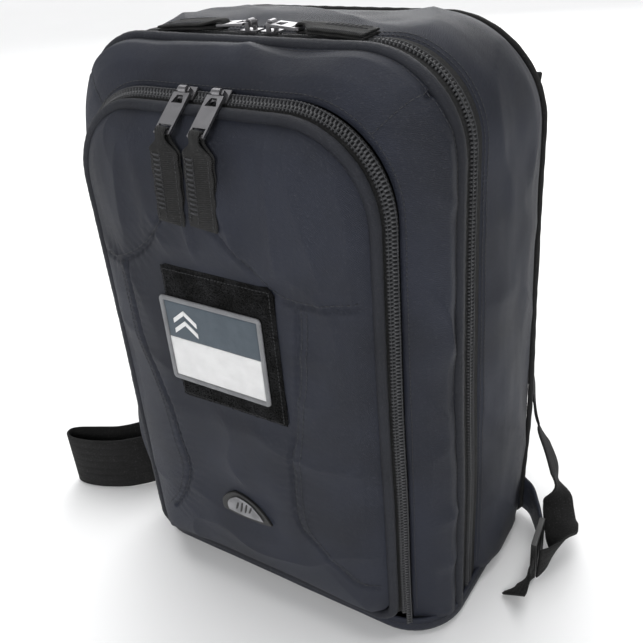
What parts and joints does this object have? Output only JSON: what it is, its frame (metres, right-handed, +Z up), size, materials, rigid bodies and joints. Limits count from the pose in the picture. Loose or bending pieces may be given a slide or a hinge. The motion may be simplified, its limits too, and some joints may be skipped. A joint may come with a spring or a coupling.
{
  "type": "first responder backpack",
  "caption": "Small black first responder backpack with a zipped clamshell lid, zipped front pocket with a hook-and-loop field and patch, shoulder straps and waist belt.",
  "frame": {"origin": "on the floor under the middle of the bag's body, in the flat underside of the base tray", "axes": "+Z up, -Y towards the front pocket, +X to the right as seen from the front"},
  "size_m": [0.4062, 0.2516, 0.3871],
  "materials": {
    "fabric": "woven twill, dull with a faint sheen",
    "lining": "plain thin weave, dull",
    "stiffener": "matt sheet",
    "spacer_mesh": "open knitted mesh, dull",
    "webbing": "ribbed nylon webbing, slight sheen",
    "piping": "fabric-covered cord, dull",
    "zip": "moulded teeth on woven tape",
    "loop": "fuzzy loop pile",
    "rubber": "moulded soft rubber, satin",
    "badge_silver": "silver print, satin",
    "patch_cloth": "embroidered twill",
    "patch_thread": "over-sewn thread edge",
    "metal": "satin nickel",
    "buckle_plastic": "moulded, satin"
  },
  "bodies": {
    "pack": {"base_tray": "fabric", "rear_gusset": "fabric", "back_panel": "fabric", "frame_sheet": "stiffener", "inner_pocket": "lining", "strap_yoke": "webbing", "back_pad_left": "spacer_mesh", "back_pad_right": "spacer_mesh", "corner_hanger_left": "webbing", "corner_hanger_right": "webbing", "main_zip_body": "zip", "corner_wing_left": "fabric", "corner_wing_right": "fabric"},
    "lid": {"lid_gusset": "fabric", "lid_piping": "piping", "main_zip_lid": "zip", "lid_wall": "lining", "pocket_zip_lid": "zip"},
    "pocket": {"pocket_panel": "fabric", "pocket_piping": "piping", "pocket_zip_front": "zip", "loop_field": "loop", "badge_rim": "rubber", "badge_inlay": "badge_silver"},
    "patch": {"patch_cloth": "patch_cloth", "patch_border": "patch_thread"},
    "grab_handle": {"grab_handle": "webbing"},
    "main_slider_left": {"main_slider_left": "metal"},
    "main_tab_left": {"main_tab_left": "metal"},
    "main_pull_left": {"main_pull_left": "webbing"},
    "main_slider_right": {"main_slider_right": "metal"},
    "main_tab_right": {"main_tab_right": "metal"},
    "main_pull_right": {"main_pull_right": "webbing"},
    "pocket_slider_left": {"pocket_slider_left": "metal"},
    "pocket_tab_left": {"pocket_tab_left": "metal"},
    "pocket_pull_left": {"pocket_pull_left": "webbing"},
    "pocket_slider_right": {"pocket_slider_right": "metal"},
    "pocket_tab_right": {"pocket_tab_right": "metal"},
    "pocket_pull_right": {"pocket_pull_right": "webbing"},
    "strap_left": {"strap_pad_left": "spacer_mesh", "strap_web_left": "webbing"},
    "strap_right": {"strap_pad_right": "spacer_mesh", "strap_web_right": "webbing"},
    "adjuster_left": {"strap_adjuster_left": "buckle_plastic", "strap_tail_left": "webbing"},
    "adjuster_right": {"strap_adjuster_right": "buckle_plastic", "strap_tail_right": "webbing"},
    "belt_left": {"belt_web_left": "webbing", "buckle_plug": "buckle_plastic"},
    "belt_right": {"belt_web_right": "webbing", "buckle_socket": "buckle_plastic"}
  },
  "joints": [
    {"name": "lid_hinge", "type": "hinge", "parent": "pack", "child": "lid", "pos_m": [0, -0.066, 0.0125], "axis": [1, 0, 0], "range_deg": [0, 50]},
    {"name": "pocket_hinge", "type": "hinge", "parent": "lid", "child": "pocket", "pos_m": [0, -0.0745, 0.0215], "axis": [1, 0, 0], "range_deg": [0, 30]},
    {"name": "patch_peel", "type": "slide", "parent": "pocket", "child": "patch", "axis": [0, -1, 0], "range_m": [0, 0.03]},
    {"name": "grab_handle_hinge", "type": "hinge", "parent": "pack", "child": "grab_handle", "pos_m": [0, 0.083, 0.366], "axis": [1, 0, 0], "range_deg": [0, 90]},
    {"name": "main_slider_left_travel", "type": "slide", "parent": "pack", "child": "main_slider_left", "axis": [-1, 0, 0], "range_m": [0, 0.05]},
    {"name": "main_tab_left_swing", "type": "hinge", "parent": "main_slider_left", "child": "main_tab_left", "pos_m": [-0.007, -0.0174, 0.3847], "axis": [0, 1, 0], "range_deg": [0, 115]},
    {"name": "main_pull_left_swing", "type": "hinge", "parent": "main_tab_left", "child": "main_pull_left", "pos_m": [-0.027, -0.0174, 0.3833], "axis": [0, 1, 0], "range_deg": [0, 90]},
    {"name": "main_slider_right_travel", "type": "slide", "parent": "pack", "child": "main_slider_right", "axis": [1, 0, 0], "range_m": [0, 0.05]},
    {"name": "main_tab_right_swing", "type": "hinge", "parent": "main_slider_right", "child": "main_tab_right", "pos_m": [0.0075, -0.0174, 0.3847], "axis": [0, -1, 0], "range_deg": [0, 115]},
    {"name": "main_pull_right_swing", "type": "hinge", "parent": "main_tab_right", "child": "main_pull_right", "pos_m": [0.0275, -0.0174, 0.3833], "axis": [0, -1, 0], "range_deg": [0, 90]},
    {"name": "pocket_slider_left_travel", "type": "slide", "parent": "lid", "child": "pocket_slider_left", "axis": [-1, 0, 0], "range_m": [0, 0.027]},
    {"name": "pocket_tab_left_swing", "type": "hinge", "parent": "pocket_slider_left", "child": "pocket_tab_left", "pos_m": [-0.015, -0.07061, 0.3607], "axis": [-1, 0, 0], "range_deg": [0, 115]},
    {"name": "pocket_pull_left_swing", "type": "hinge", "parent": "pocket_tab_left", "child": "pocket_pull_left", "pos_m": [-0.015, -0.09193, 0.34405], "axis": [-1, 0, 0], "range_deg": [0, 90]},
    {"name": "pocket_slider_right_travel", "type": "slide", "parent": "lid", "child": "pocket_slider_right", "axis": [1, 0, 0], "range_m": [0, 0.033]},
    {"name": "pocket_tab_right_swing", "type": "hinge", "parent": "pocket_slider_right", "child": "pocket_tab_right", "pos_m": [0.008, -0.07061, 0.3607], "axis": [-1, 0, 0], "range_deg": [0, 115]},
    {"name": "pocket_pull_right_swing", "type": "hinge", "parent": "pocket_tab_right", "child": "pocket_pull_right", "pos_m": [0.008, -0.09193, 0.34405], "axis": [-1, 0, 0], "range_deg": [0, 90]},
    {"name": "strap_left_lift", "type": "hinge", "parent": "pack", "child": "strap_left", "pos_m": [-0.054, 0.0845, 0.336], "axis": [1, 0, 0], "range_deg": [0, 20]},
    {"name": "strap_right_lift", "type": "hinge", "parent": "pack", "child": "strap_right", "pos_m": [0.054, 0.0845, 0.336], "axis": [1, 0, 0], "range_deg": [0, 20]},
    {"name": "adjuster_left_swing", "type": "hinge", "parent": "pack", "child": "adjuster_left", "pos_m": [-0.1385, 0.1025, 0.017], "axis": [0, 0, -1], "range_deg": [0, 12]},
    {"name": "adjuster_right_swing", "type": "hinge", "parent": "pack", "child": "adjuster_right", "pos_m": [0.1565, 0.046, 0.017], "axis": [0, 0, -1], "range_deg": [0, 12]},
    {"name": "belt_left_swing", "type": "hinge", "parent": "pack", "child": "belt_left", "pos_m": [-0.112, 0.0815, 0.0595], "axis": [0, 0, -1], "range_deg": [0, 34]},
    {"name": "belt_right_swing", "type": "hinge", "parent": "pack", "child": "belt_right", "pos_m": [0.112, 0.0815, 0.0595], "axis": [0, 0, -1], "range_deg": [0, 34]}
  ]
}
